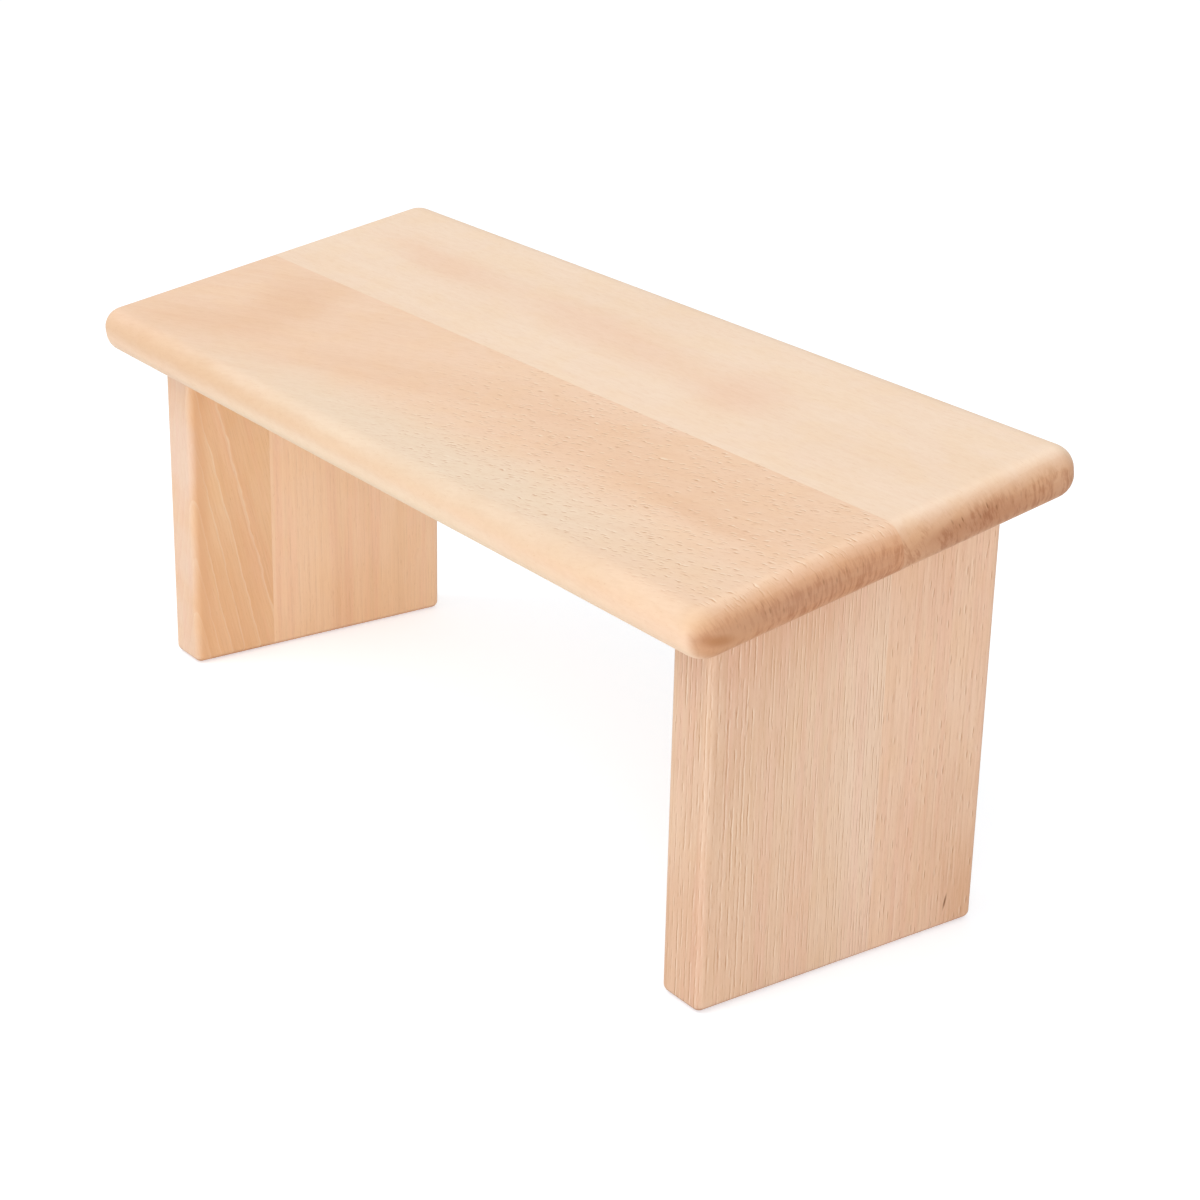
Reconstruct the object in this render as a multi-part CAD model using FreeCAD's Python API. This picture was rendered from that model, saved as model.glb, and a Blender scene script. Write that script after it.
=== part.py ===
import FreeCAD, Part
import os

# A folding meditation bench: a sloping two-stave seat on two leg panels, each hinged to fold inwards.
# Millimetres. +X runs along the seat, -Y is the lower front, +Z is up, and the floor is Z = 0 under the middle.

# Seat board, measured square to itself
seat_length = 400.0
seat_width = 159.0
seat_thickness = 18.0
seat_edge_flat = 2.0
seat_corner_extra = 1.0
seat_front_stave_width = 81.0
seat_slope_deg = 9.8
underside_height = 143.5

# Leg panels
leg_thickness = 20.0
leg_width = 120.0
leg_overhang = 18.0
leg_edge_round = 3.0
right_leg_front_stave_width = 72.3
left_leg_front_stave_width = 36.6

# Butt hinges
hinge_length = 40.0
hinge_edge_inset = 6.0
leaf_thickness = 1.2
leaf_reach = 16.0
leaf_corner_round = 1.2
knuckle_count = 5
knuckle_gap = 0.2
knuckle_seam = 0.2
knuckle_rise = 0.3
knuckle_notch_gap = 0.4
pin_diameter = 2.4
pin_play = 0.05
pin_head_diameter = 3.6
pin_head_height = 0.7
pin_head_gap = 0.1

# Countersunk screws with a single slot
screw_length = 12.0
screw_shank_diameter = 2.6
screw_head_diameter = 5.0
screw_tip_length = 2.5
screw_slot_width = 0.7
screw_slot_depth = 0.6
screw_fit = 0.05
screw_pilot_depth = 0.5
screw_end_inset = 8.0

# Cutting tools run past the wood by this much
overrun = 30.0

# Derived sizes of the seat
seat_edge_round = (seat_thickness - seat_edge_flat) / 2
seat_corner_round = seat_edge_round + seat_corner_extra
seat_glue_line = seat_front_stave_width - seat_width / 2

# Derived sizes of the legs
leg_outer_x = seat_length / 2 - leg_overhang
leg_inner_x = leg_outer_x - leg_thickness

# Derived sizes of the hinges: the axis stands clear of both pieces of wood by the same distance
pin_radius = pin_diameter / 2
knuckle_bore = pin_radius + pin_play
knuckle_radius = knuckle_bore + leaf_thickness
axis_offset = knuckle_radius + knuckle_rise
axis_x = leg_inner_x - axis_offset
knuckle_pitch = (hinge_length + knuckle_gap) / knuckle_count
hinge_centre = leg_width / 2 - hinge_edge_inset - hinge_length / 2
screw_row = (knuckle_radius + leaf_reach) / 2

ORIGIN = FreeCAD.Vector(0, 0, 0)
ACROSS = FreeCAD.Vector(1, 0, 0)
ALONG_Y = FreeCAD.Vector(0, 1, 0)
UP = FreeCAD.Vector(0, 0, 1)
SIDES = {"left": -1, "right": 1}
PLACES = {"front": -1, "back": 1}

# The seat is drawn level, with its underside at zero height, then tilted about the middle of its underside,
# which lies so far back that the middle of the tilted board is over the origin.
tilt = FreeCAD.Rotation(ACROSS, seat_slope_deg)
slope_direction = tilt.multVec(ALONG_Y)
underside_y = slope_direction.z * seat_thickness / 2
SEAT_PLACE = FreeCAD.Placement(FreeCAD.Vector(0, underside_y, underside_height), tilt)


def placed(shape):
    """A piece drawn on the level seat, moved to where the tilted seat holds it."""
    moved = shape.copy()
    moved.Placement = SEAT_PLACE.multiply(moved.Placement)
    return moved


def box_between(low, high):
    """A box from its low corner to its high corner."""
    size = high - low
    return Part.makeBox(size.x, size.y, size.z, low)


def prism(points, sweep):
    """A flat outline swept straight along a vector."""
    outline = Part.makePolygon(points + points[:1])
    return Part.Face(outline).extrude(sweep)


def edges_along(shape, direction):
    """The straight edges that run along a direction."""
    found = []
    for edge in shape.Edges:
        run = edge.Vertexes[-1].Point - edge.Vertexes[0].Point
        if run.Length > 0 and run.cross(direction).Length < run.Length * 1e-6:
            found.append(edge)
    return found


def split_at(board, y):
    """Two staves of a board, parted by an upright glue plane across Y."""
    box = board.BoundBox
    low = FreeCAD.Vector(box.XMin - overrun, box.YMin - overrun, box.ZMin - overrun)
    high = FreeCAD.Vector(box.XMax + overrun, box.YMax + overrun, box.ZMax + overrun)
    front = board.common(box_between(low, FreeCAD.Vector(high.x, y, high.z)))
    back = board.common(box_between(FreeCAD.Vector(low.x, y, low.z), high))
    return front, back


def seat_board():
    """The level seat: upright corners rounded first, then the edge all round, top and bottom."""
    corner = FreeCAD.Vector(-seat_length / 2, -seat_width / 2, 0)
    board = Part.makeBox(seat_length, seat_width, seat_thickness, corner)
    board = board.makeFillet(seat_corner_round, edges_along(board, UP))
    level_edges = [edge for edge in board.Edges if edge.BoundBox.ZLength < seat_edge_flat / 2]
    return board.makeFillet(seat_edge_round, level_edges)


def leg_panel(side):
    """An upright panel whose top end lies on the seat's sloping underside, all its edges rounded."""
    front_y = underside_y - leg_width / 2
    back_y = underside_y + leg_width / 2
    rise = leg_width / 2 * slope_direction.z / slope_direction.y
    outline = [
        FreeCAD.Vector(leg_inner_x, front_y, 0),
        FreeCAD.Vector(leg_inner_x, back_y, 0),
        FreeCAD.Vector(leg_inner_x, back_y, underside_height + rise),
        FreeCAD.Vector(leg_inner_x, front_y, underside_height - rise),
    ]
    panel = prism(outline, ACROSS * leg_thickness)
    panel = panel.makeFillet(leg_edge_round, panel.Edges)
    return panel if side > 0 else panel.mirror(ORIGIN, ACROSS)


def screw_body(grow):
    """A countersunk screw pointing down from zero height, or with grow its hole in the wood and the leaf."""
    head = screw_head_diameter / 2 + grow
    shank = screw_shank_diameter / 2 + grow
    bottom = -screw_length - (screw_pilot_depth if grow else 0)
    profile = [
        FreeCAD.Vector(0, 0, 0),
        FreeCAD.Vector(head, 0, 0),
        FreeCAD.Vector(shank, 0, shank - head),
        FreeCAD.Vector(shank, 0, bottom + screw_tip_length),
        FreeCAD.Vector(0, 0, bottom),
    ]
    outline = Part.makePolygon(profile + profile[:1])
    return Part.Face(outline).revolve(ORIGIN, UP, 360)


def screw():
    """One slotted screw with its head flush at zero height."""
    low = FreeCAD.Vector(-screw_head_diameter, -screw_slot_width / 2, -screw_slot_depth)
    high = FreeCAD.Vector(screw_head_diameter, screw_slot_width / 2, screw_slot_depth)
    return screw_body(0).cut(box_between(low, high))


def leaf_profile():
    """A leaf in section: it leaves the knuckle at its crown and steps up by the knuckle's rise onto the wood."""
    flat_start = knuckle_radius + knuckle_notch_gap
    top = axis_offset
    return [
        FreeCAD.Vector(0, 0, knuckle_radius),
        FreeCAD.Vector(-flat_start, 0, top),
        FreeCAD.Vector(-leaf_reach, 0, top),
        FreeCAD.Vector(-leaf_reach, 0, top - leaf_thickness),
        FreeCAD.Vector(-flat_start, 0, top - leaf_thickness),
        FreeCAD.Vector(0, 0, knuckle_bore),
    ]


def knuckle_span(index):
    """Where one knuckle starts and ends along the hinge."""
    start = -hinge_length / 2 + index * knuckle_pitch
    return start, start + knuckle_pitch - knuckle_gap


def leaf_plate():
    """The flat of a leaf over the hinge's whole length, the corners of its free end rounded."""
    start = FreeCAD.Vector(0, -hinge_length / 2, 0)
    plate = prism([point + start for point in leaf_profile()], ALONG_Y * hinge_length)
    free_end = [edge for edge in edges_along(plate, UP) if edge.CenterOfMass.x < -screw_row]
    return plate.makeFillet(leaf_corner_round, free_end)


def leaf_barrel():
    """The sheet rolled round the pin, open by a narrow seam where its end comes back to the flat."""
    start = FreeCAD.Vector(0, -hinge_length / 2, 0)
    barrel = Part.makeCylinder(knuckle_radius, hinge_length, start, ALONG_Y)
    low = FreeCAD.Vector(-knuckle_radius, -hinge_length / 2, knuckle_bore - knuckle_seam)
    return barrel.cut(box_between(low, FreeCAD.Vector(0, hinge_length / 2, knuckle_bore)))


def leaf(own_first):
    """One leaf on its pin axis, reaching towards -X under the wood, with every second knuckle its own."""
    start = FreeCAD.Vector(0, -hinge_length / 2, 0)
    body = leaf_plate().fuse(leaf_barrel())
    body = body.cut(Part.makeCylinder(knuckle_bore, hinge_length, start, ALONG_Y))
    notch_reach = knuckle_radius + knuckle_notch_gap
    for index in range(knuckle_count):
        if (index % 2 == 0) == own_first:
            continue
        near, far = knuckle_span(index)
        low = FreeCAD.Vector(-notch_reach, near - knuckle_gap, -axis_offset)
        high = FreeCAD.Vector(notch_reach, far + knuckle_gap, axis_offset)
        body = body.cut(box_between(low, high))
    return body.removeSplitter()


def screw_places():
    """Where the two screws of a leaf stand, on the pin axis's frame, heads flush with the leaf's open face."""
    reach = hinge_length / 2 - screw_end_inset
    height = axis_offset - leaf_thickness
    return [FreeCAD.Vector(-screw_row, y, height) for y in (-reach, reach)]


def leaf_screws(make):
    """Screws, or their holes, through a leaf that lies under the wood: they point up into it."""
    upward = FreeCAD.Rotation(ACROSS, 180)
    made = []
    for place in screw_places():
        one = make()
        one.Placement = FreeCAD.Placement(place, upward)
        made.append(one)
    return Part.makeCompound(made)


def leaf_holes():
    return leaf_screws(lambda: screw_body(screw_fit))


def hinge_pin():
    """A pin with a riveted head past each end knuckle."""
    reach = hinge_length / 2 + pin_head_gap
    start = FreeCAD.Vector(0, -reach, 0)
    body = Part.makeCylinder(pin_radius, 2 * reach, start, ALONG_Y)
    for end in (-1, 1):
        base = FreeCAD.Vector(0, end * reach, 0)
        head = Part.makeCylinder(pin_head_diameter / 2, pin_head_height, base, ALONG_Y * end)
        outer = [edge for edge in head.Edges if abs(edge.BoundBox.Center.y) > reach + pin_head_height / 2]
        head = head.makeFillet(pin_head_height / 2, outer[:1])
        body = body.fuse(head)
    return body.removeSplitter()


def against_leg(shape):
    """The same shape mirrored in the corner's diagonal, which swaps the underside for the leg's inner face."""
    return shape.mirror(ORIGIN, ACROSS - UP)


def on_bench(shape, side, place):
    """A piece in its hinge's frame, moved to that hinge under the level seat and tilted with it."""
    moved = shape.copy()
    moved.translate(FreeCAD.Vector(axis_x, PLACES[place] * hinge_centre, -axis_offset))
    if SIDES[side] < 0:
        moved = moved.mirror(ORIGIN, ACROSS)
    return placed(moved)


def hinge_parts(side, place):
    """The pieces of one hinge, each where it stands on the bench."""
    pieces = {
        "seat_leaf": leaf(True).cut(leaf_holes()),
        "leg_leaf": against_leg(leaf(False).cut(leaf_holes())),
        "pin": hinge_pin(),
        "seat_screws": leaf_screws(screw),
        "leg_screws": against_leg(leaf_screws(screw)),
    }
    name = side + "_" + place + "_hinge_"
    return {name + kind: on_bench(shape, side, place) for kind, shape in pieces.items()}


def without(wood, holes):
    """Wood with every hole cut that reaches it."""
    for hole in holes:
        wood = wood.cut(hole)
    return wood


def build():
    """Every piece of the bench by its name."""
    pieces = {}
    seat_holes = []
    leg_holes = {"left": [], "right": []}
    for side in SIDES:
        for place in PLACES:
            pieces.update(hinge_parts(side, place))
            seat_holes.append(on_bench(leaf_holes(), side, place))
            leg_holes[side].append(on_bench(against_leg(leaf_holes()), side, place))

    front, back = split_at(seat_board(), seat_glue_line)
    pieces["seat_front_stave"] = without(placed(front), seat_holes)
    pieces["seat_back_stave"] = without(placed(back), seat_holes)

    front_staves = {"left": left_leg_front_stave_width, "right": right_leg_front_stave_width}
    for side, sign in SIDES.items():
        glue_line = underside_y - leg_width / 2 + front_staves[side]
        front, back = split_at(leg_panel(sign), glue_line)
        pieces[side + "_leg_front_stave"] = without(front, leg_holes[side])
        pieces[side + "_leg_back_stave"] = without(back, leg_holes[side])
    return pieces


def main():
    os.makedirs("parts", exist_ok=True)
    for name, shape in build().items():
        solids = shape.Solids
        kept = solids[0] if len(solids) == 1 else Part.makeCompound(solids)
        kept.exportStep("parts/" + name + ".step")
        print(name, len(solids), "solids", round(kept.Volume, 1), "mm3", "valid", kept.isValid())


main()
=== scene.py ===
# %% [markdown]
# # A folding meditation bench in plain beech
#
# The bench is a sloping seat on two upright leg panels, and the panels fold in under the seat on small
# brass hinges. Every board is glued up from two staves of beech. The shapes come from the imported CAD
# model, which is loaded first and stays as it is. What this lesson adds is the look: where the camera
# stands, a bright plain studio, and wood that is solid all the way through, so that its rings, rays and
# fibres run on from a face, round an edge and into the end grain.

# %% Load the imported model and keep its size
import math
from collections import namedtuple
from types import SimpleNamespace

import bmesh
import bpy
import numpy as np
from mathutils import Matrix
from mathutils import Vector


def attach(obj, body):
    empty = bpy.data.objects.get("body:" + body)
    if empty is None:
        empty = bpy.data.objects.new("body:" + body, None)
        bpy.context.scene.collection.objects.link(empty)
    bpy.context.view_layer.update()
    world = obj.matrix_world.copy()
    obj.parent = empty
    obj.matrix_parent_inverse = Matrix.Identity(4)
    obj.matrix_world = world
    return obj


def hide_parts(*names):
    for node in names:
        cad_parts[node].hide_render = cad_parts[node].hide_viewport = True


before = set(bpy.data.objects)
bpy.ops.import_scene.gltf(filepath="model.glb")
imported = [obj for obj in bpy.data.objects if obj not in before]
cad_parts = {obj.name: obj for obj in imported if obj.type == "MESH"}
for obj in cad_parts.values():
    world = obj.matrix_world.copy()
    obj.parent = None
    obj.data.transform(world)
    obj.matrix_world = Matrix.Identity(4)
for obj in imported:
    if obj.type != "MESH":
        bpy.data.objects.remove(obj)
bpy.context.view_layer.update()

# %% [markdown]
# ## The camera
#
# A photograph fixes its camera by the lines that it shows. Here a pinhole camera was solved together with
# the bench's sizes, until the outline of the model fell on the outline in the picture. The picture is
# square, so the lens goes with a 36 mm wide sensor. No lens shift is needed and nothing is out of focus.
# The camera is turned in three steps: round the bench, up from the horizon, and a little about its own
# axis.

# %% Put the camera where the photograph was taken
CAMERA_AZIMUTH = math.radians(53.97)
CAMERA_ELEVATION = math.radians(21.57)
CAMERA_ROLL = math.radians(1.28)
CAMERA_PLACE = (0.758245, -0.519803, 0.434519)

camera_data = bpy.data.cameras.new("camera")
camera_data.sensor_width = 36.0
camera_data.lens = 78.847
camera_data.clip_start = 0.01
camera = bpy.data.objects.new("camera", camera_data)
bpy.context.scene.collection.objects.link(camera)
around = Matrix.Rotation(CAMERA_AZIMUTH, 4, "Z")
upright = Matrix.Rotation(math.radians(90.0) - CAMERA_ELEVATION, 4, "X")
roll = Matrix.Rotation(CAMERA_ROLL, 4, "Z")
camera.matrix_world = Matrix.Translation(CAMERA_PLACE) @ around @ upright @ roll
bpy.context.scene.camera = camera
print("the camera stands", round(1000 * Vector(CAMERA_PLACE).length), "mm from the middle of the floor")

# %% [markdown]
# ## Small tools for nodes
#
# A material in Blender is a tree of nodes. Written out one by one they hide the idea, so a few helpers
# come first: `add` makes any node and wires it, `maths`, `vector_maths` and `times` do sums, and
# `soft_step` fades smoothly from 0 to 1 between two values. `parts` and `vector_of` take vectors apart
# and put them together. `blend` mixes two colours as thick paint would, and `glaze` as thin paint would.
# Colours are written as a screen shows them, from 0 to 255, and `paint` turns them into the linear values
# that light is reckoned in.

# %% Helpers that make and wire nodes


def add(tree, kind, wires=None, **settings):
    """One node of a kind. Each input in wires gets a plain value, or the output of another node."""
    node = tree.nodes.new("ShaderNode" + kind)
    for name, value in settings.items():
        setattr(node, name, value)
    for key, value in (wires or {}).items():
        if isinstance(value, bpy.types.NodeSocket):
            tree.links.new(value, node.inputs[key])
        else:
            node.inputs[key].default_value = value
    return node


def maths(tree, operation, *terms):
    """The result of one sum on numbers or outputs."""
    return add(tree, "Math", dict(enumerate(terms)), operation=operation).outputs[0]


def vector_maths(tree, operation, *terms):
    """The same for vectors. A length comes out as a number."""
    node = add(tree, "VectorMath", dict(enumerate(terms)), operation=operation)
    return node.outputs["Value" if operation in ("LENGTH", "DOT_PRODUCT") else "Vector"]


def parts(tree, vector):
    """The three numbers of a vector."""
    return add(tree, "SeparateXYZ", {0: vector}).outputs


def vector_of(tree, *numbers):
    """A vector of two or three numbers."""
    return add(tree, "CombineXYZ", dict(enumerate(numbers))).outputs[0]


def by_chance(tree, number):
    """A random number from 0 to 1, always the same one for a number."""
    return add(tree, "TexWhiteNoise", {"W": number}, noise_dimensions="1D").outputs["Value"]


def times(tree, first, *others):
    """The product of numbers or outputs."""
    for each in others:
        first = maths(tree, "MULTIPLY", first, each)
    return first


def soft_step(tree, value, start, end):
    """0 at start and before, 1 at end and beyond, with an S-shaped fade between. End may be the lower."""
    wires = {"Value": value, "From Min": start, "From Max": end}
    return add(tree, "MapRange", wires, interpolation_type="SMOOTHSTEP").outputs["Result"]


# %% Helpers for colour


def blend(tree, share, first, second, mode="MIX"):
    """A colour that goes from first to second as share goes from 0 to 1."""
    node = add(tree, "Mix", {0: share, 6: first, 7: second}, data_type="RGBA", blend_type=mode)
    return node.outputs[2]


def glaze(tree, share, colour, tint):
    """The colour under a share of a clear tint, which multiplies it."""
    return blend(tree, share, colour, tint, "MULTIPLY")


def paint(red, green, blue):
    """A colour from a screen, 0 to 255, made linear.

    Near black that is c / 12.92, and elsewhere ((c + 0.055) / 1.055) to the power 2.4.
    """
    shown = np.array([red, green, blue]) / 255.0
    linear = np.where(shown <= 0.04045, shown / 12.92, ((shown + 0.055) / 1.055) ** 2.4)
    return (*linear.tolist(), 1.0)


def empty_material(name):
    """(material, tree): a new material whose tree of nodes is still empty."""
    material = bpy.data.materials.new(name)
    material.use_nodes = True
    material.node_tree.nodes.clear()
    return material, material.node_tree


print("mid grey 128 is", round(paint(128, 128, 128)[0], 3), "in linear light")

# %% [markdown]
# ## A bright, plain studio
#
# The photograph is a catalogue picture: soft light from everywhere, a little more from above and from the
# front left, and pure white behind. The dome of the world gives the even part and two broad lamps the
# rest. Together they are as bright as a colour is written, so nothing is washed out. The white behind the
# bench is not made with more light: rays that come straight from the camera, or by way of shiny metal,
# see plain white.

# %% Light the studio
DOME_TINT = (1.0, 0.98, 0.955, 1.0)
DOME_STRENGTH = 0.69
PLAIN_WHITE = (1.0, 1.0, 1.0, 1.0)
MIDDLE_OF_THE_BENCH = Vector((0.0, 0.0, 0.08))

scene = bpy.context.scene
scene.view_settings.view_transform = "Standard"


def seen_directly(tree):
    """1 for a ray that comes straight from the camera, or by way of something shiny or clear."""
    path = add(tree, "LightPath")
    shiny = maths(tree, "MAXIMUM", path.outputs["Is Glossy Ray"], path.outputs["Is Transmission Ray"])
    return maths(tree, "MAXIMUM", path.outputs["Is Camera Ray"], shiny)


world = bpy.data.worlds.new("studio")
world.use_nodes = True
scene.world = world
sky = world.node_tree
sky.nodes.clear()
dome = add(sky, "Background", {"Color": DOME_TINT, "Strength": DOME_STRENGTH})
white = add(sky, "Background", {"Color": PLAIN_WHITE, "Strength": 1.0})
seen = add(sky, "MixShader", {0: seen_directly(sky), 1: dome.outputs[0], 2: white.outputs[0]})
add(sky, "OutputWorld", {"Surface": seen.outputs[0]})


def soft_lamp(name, place, watts, width):
    """A broad square lamp at a place, aimed at the middle of the bench."""
    data = bpy.data.lights.new(name, "AREA")
    data.energy = watts
    data.size = width
    lamp = bpy.data.objects.new(name, data)
    scene.collection.objects.link(lamp)
    lamp.location = place
    lamp.rotation_euler = (MIDDLE_OF_THE_BENCH - lamp.location).to_track_quat("-Z", "Y").to_euler()
    return lamp


soft_lamp("lamp_over_the_front_left", (-0.5, -1.2, 1.7), 11.0, 1.2)
soft_lamp("lamp_low_on_the_right", (1.5, -1.1, 0.45), 11.5, 0.9)

# %% [markdown]
# The floor is white paper. It takes the bench's shadow, and for the camera it is lifted towards the white
# of the backdrop by a share of glow, so that only a pale soft shadow is left, as on a light table. From
# below it is clear, so that the underside of the bench can be looked at. The feet stand on it, so no
# light would reach their undersides. Light that has come less than 3 mm is therefore let through the
# paper.

# %% Lay the floor
FLOOR_REACH = 4.0
FLOOR_DROP = 0.0002
LET_THROUGH = 0.003
PAPER_TINT = (0.84, 0.85, 0.86, 1.0)
GLOW_TINT = (0.91, 1.0, 1.09, 1.0)
GLOW_STRENGTH = 0.44

floor_mesh = bpy.data.meshes.new("floor")
reach = FLOOR_REACH * np.array([[-1.0, -1.0], [1.0, -1.0], [1.0, 1.0], [-1.0, 1.0]])
floor_points = np.column_stack([reach, np.full(4, -FLOOR_DROP)])
floor_mesh.from_pydata(floor_points.tolist(), [], [(0, 1, 2, 3)])
floor = bpy.data.objects.new("floor", floor_mesh)
scene.collection.objects.link(floor)

paper, sheet = empty_material("white_paper")
side = add(sheet, "NewGeometry")
matt = add(sheet, "BsdfDiffuse", {"Color": PAPER_TINT})
glow = add(sheet, "Emission", {"Color": GLOW_TINT, "Strength": GLOW_STRENGTH})
lit = add(sheet, "AddShader", {0: matt.outputs[0], 1: glow.outputs[0]})
clear = add(sheet, "BsdfTransparent")
bright = add(sheet, "MixShader", {0: seen_directly(sheet), 1: matt.outputs[0], 2: lit.outputs[0]})
length = add(sheet, "LightPath").outputs["Ray Length"]
near = maths(sheet, "LESS_THAN", length, LET_THROUGH)
passes = maths(sheet, "MAXIMUM", side.outputs["Backfacing"], near)
one_sided = add(sheet, "MixShader", {0: passes, 1: bright.outputs[0], 2: clear.outputs[0]})
add(sheet, "OutputMaterial", {"Surface": one_sided.outputs[0]})
floor_mesh.materials.append(paper)
print("the floor lies", 1000 * FLOOR_DROP, "mm under the feet")

# %% [markdown]
# ## Beech, from the inside out
#
# Wood drawn on a surface gives itself away at the edges. A board is sawn out of a log, so the wood here
# is worked out in the log: a Mapping node lays each stave into its own log, with the pith along its Z
# axis and millimetres as the unit. Every pattern that follows is a function of the distance from the
# pith, the angle round it and the place along it. The same three numbers give flat-sawn flames, straight
# quarter-sawn lines or end grain, whichever way the stave was cut. What was done to the board is measured
# on the board in the same way: X along the seat, Y across the board and Z off its underside.

# %% Lay a stave into its log
MILLIMETRE = 0.001
NO_TURN = (0.0, 0.0, 0.0)


def measured(tree, vector, origin, turn, units):
    """The vector measured from an origin, along axes turned by angles in degrees, with a unit on each."""
    angles = [math.radians(angle) for angle in turn]
    wires = {"Vector": vector, "Location": origin, "Rotation": angles, "Scale": units}
    return add(tree, "Mapping", wires, vector_type="TEXTURE").outputs[0]


def in_millimetres(tree, origin=NO_TURN, turn=NO_TURN):
    """A point of the piece, measured in millimetres from an origin in metres and along turned axes."""
    return measured(tree, add(tree, "TexCoord").outputs["Object"], origin, turn, (MILLIMETRE,) * 3)


print("one unit in the log is", MILLIMETRE, "of Blender's")

# %% [markdown]
# ### Soft noise
#
# Nothing in a trunk is exactly repeated, so nearly every layer is a kind of noise. What makes it look
# like wood is its stretch: many waves in a millimetre across the grain and few along it. A trunk is never
# quite round nor straight either, so the same noise, made weak, is used as an error on distances and
# angles.

# %% Noise, and errors made of it
PUSH_WAVES = (0.025, 0.04, 0.04)
HALF = (0.5, 0.5, 0.5)


def noise(tree, vector, stretch, shift=0.0, detail=2.0, roughness=0.5):
    """Soft random values about 0.5. Stretch is the number of its waves in a millimetre along each axis.

    The shift moves it to another part of the endless noise, so that no two layers are alike.
    """
    place = vector_maths(tree, "MULTIPLY_ADD", vector, stretch, (shift, shift * 1.7, shift * 0.6))
    wires = {"Vector": place, "Scale": 1.0, "Detail": detail, "Roughness": roughness}
    return add(tree, "TexNoise", wires, normalize=True).outputs[0]


def clouds(tree, vector, stretch, steps, shift, detail=2.0, roughness=0.5):
    """The same noise with more contrast: 0 up to the first of two steps, and 1 from the second on."""
    return soft_step(tree, noise(tree, vector, stretch, shift, detail, roughness), *steps)


def soft_push(tree, vector, shift):
    """A soft random push, about zero, that changes over some tens of millimetres."""
    place = vector_maths(tree, "MULTIPLY_ADD", vector, PUSH_WAVES, (shift, shift, shift))
    push = add(tree, "TexNoise", {"Vector": place, "Scale": 1.0, "Detail": 3.0}).outputs["Color"]
    return vector_maths(tree, "SUBTRACT", push, HALF)


def uneven(tree, value, vector, stretch, size, shift):
    """The value, plus a soft error of about that size either way."""
    error = maths(tree, "SUBTRACT", noise(tree, vector, stretch, shift), 0.5)
    return maths(tree, "MULTIPLY_ADD", error, 2.0 * size, value)


# %% [markdown]
# ### Where a point lies
#
# Every layer asks the same things of a point: how far it is from the pith, how far round and how far
# along, and where on the board. The answers are worked out once for each stave and kept under short
# names. The radius has the errors of the rings, and the true radius has none. The spoke is the place
# round the pith with the long bends of the rays, and across is the same with their small waves too.

# %% Work out where a point lies
SLOW_WAVES = (0.02, 0.02, 0.006)
QUICK_WAVES = (0.15, 0.15, 0.09)
RAY_BENDS = (0.05, 0.05, 0.02)
RAY_WAVES = (0.35, 0.35, 0.22)
PATCH_PUSH = (26.0, 12.0, 0.0)


def lie_of(tree, log, board):
    """The place of a point, by name: in its log, and on the face of its board."""
    seed = log["seed"]
    wood = in_millimetres(tree, log["pith"], log["turn"])
    x, y, along = parts(tree, wood)
    true_radius = vector_maths(tree, "LENGTH", vector_of(tree, x, y))
    radius = uneven(tree, true_radius, wood, SLOW_WAVES, log["wander"], seed)
    radius = uneven(tree, radius, wood, QUICK_WAVES, log["jagged"], seed + 3.1)
    spoke = times(tree, maths(tree, "ARCTAN2", y, x), log["depth"])
    spoke = uneven(tree, spoke, wood, RAY_BENDS, log["swerve"], seed + 5.3)
    across = uneven(tree, spoke, wood, RAY_WAVES, log["wavy"], seed + 7.9)
    face = in_millimetres(tree, *board)
    push = vector_maths(tree, "MULTIPLY", soft_push(tree, face, seed), PATCH_PUSH)
    ragged = vector_maths(tree, "ADD", face, push)
    names = {"wood": wood, "along": along, "true_radius": true_radius, "radius": radius}
    return SimpleNamespace(**names, spoke=spoke, across=across, face=face, ragged=ragged)


# %% [markdown]
# ### Which way the face looks
#
# Where a face looks along the trunk it is end grain. The seat's ends are round, so end grain has to come
# and go smoothly. The object's own normal tells how much: the cosine of the angle between the normal and
# the grain is 1 on end grain and 0 on a side. Where a round end looks up, end grain counts for less, so it
# is paler there: painted light from above. A corner between two upright faces is told in the same way,
# for a painted highlight on it.

# %% Tell end grain from the sides
PAINTED_LIGHT_FROM_ABOVE = 0.3
LOOKS_UP = (0.15, 0.80)
LOOKS_ALONG = (0.25, 0.90)
CORNER_HIGHLIGHT_STEPS = (0.02, 0.35)


def open_ends(tree, grain):
    """(end, edge): share of end grain, less where it looks up for painted light, and of a corner, for a
    painted highlight.
    """
    normal = add(tree, "TexCoord").outputs["Normal"]
    facing = maths(tree, "ABSOLUTE", vector_maths(tree, "DOT_PRODUCT", normal, grain))
    nx, ny, nz = parts(tree, normal)
    # Painted light: end grain that looks up gets less of its dark tint.
    lit_from_above = maths(tree, "MULTIPLY_ADD", soft_step(tree, nz, *LOOKS_UP), -PAINTED_LIGHT_FROM_ABOVE, 1.0)
    end = times(tree, soft_step(tree, facing, *LOOKS_ALONG), lit_from_above)
    askew = maths(tree, "ABSOLUTE", times(tree, nx, ny))
    return end, soft_step(tree, askew, *CORNER_HIGHLIGHT_STEPS)


# %% [markdown]
# ### Growth rings
#
# A year's growth starts with a thin pale line and darkens slowly, and then the next year starts pale
# again at once. Beech shows this only faintly, and no two years are equally dark. The rings are the
# ground colour of the wood. Under them it drifts a little through the log, and it is faintly mottled over
# the board.

# %% Growth rings
SUMMER = (0.1, 0.95)
WINTER = (1.0, 0.96)
SHARE_BY_CHANCE = 0.3


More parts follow.
